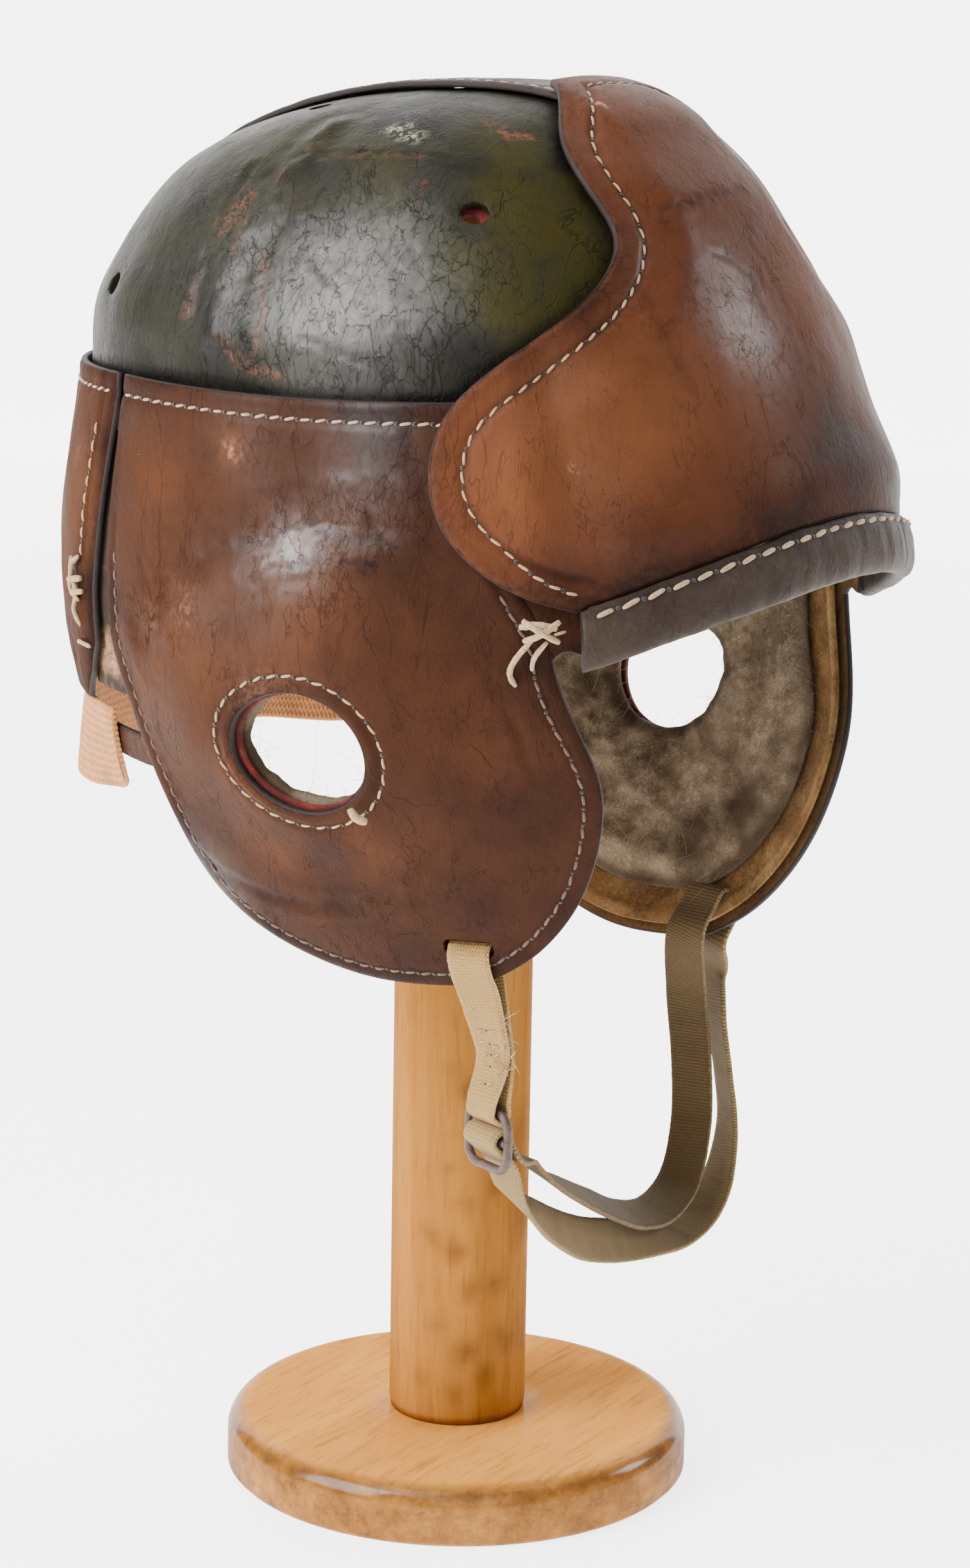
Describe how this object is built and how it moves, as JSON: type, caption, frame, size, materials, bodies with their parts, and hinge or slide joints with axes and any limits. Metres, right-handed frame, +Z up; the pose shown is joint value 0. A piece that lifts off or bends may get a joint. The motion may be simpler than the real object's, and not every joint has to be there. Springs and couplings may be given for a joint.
{
  "type": "leather football helmet on wooden display stand",
  "caption": "Worn leather football helmet with padded brow, ear panels, nape elastic and a chin strap with a slider, on a plain wooden post with a round foot.",
  "frame": {"origin": "centre of the underside of the stand's round foot", "axes": "+Z up along the post, -Y the way the helmet faces, -X the wearer's right side"},
  "size_m": [0.2004, 0.2309, 0.3847],
  "materials": {
    "crown_leather": "aged smooth leather, greenish black, fine crackle and scuffs, soft gloss",
    "red_felt": "thick pressed red felt, matt, dusty",
    "strip_leather": "dark brown leather strip, rubbed along its edges, cream stitches",
    "brown_leather": "worn mid brown leather with dark stains, polished on the high places",
    "ear_leather": "worn reddish brown leather, creased over the ear, soft gloss",
    "roll_leather": "dark brown rolled leather, wrinkled, cream stitches",
    "wool": "matted grey brown wool padding",
    "flesh_leather": "tan leather with its rough side showing",
    "elastic": "ribbed pinkish elastic webbing",
    "webbing": "woven khaki cotton webbing, soiled",
    "webbing_pale": "woven pale khaki cotton webbing with cream thread",
    "bronze": "rusty bronze wire, dull",
    "wood": "orange tan varnished wood, grain along it, dark stains"
  },
  "bodies": {
    "root": {"crown_right": "crown_leather", "crown_left": "crown_leather", "crown_lining": "red_felt", "top_strip": "strip_leather", "forehead_pad": "brown_leather", "brow_roll": "roll_leather", "ear_panel_right": "ear_leather", "ear_panel_left": "ear_leather", "ear_felt_right": "red_felt", "ear_felt_left": "red_felt", "ear_wool_right": "wool", "ear_wool_left": "wool", "back_panel": "brown_leather", "side_tongue_right": "flesh_leather", "side_tongue_left": "flesh_leather", "neck_elastic": "elastic", "elastic_tab_right": "ear_leather", "elastic_tab_left": "ear_leather", "tab_strap": "webbing_pale", "chin_strap": "webbing", "slider_buckle": "bronze", "stand_post": "wood", "stand_base": "wood"}
  },
  "joints": []
}
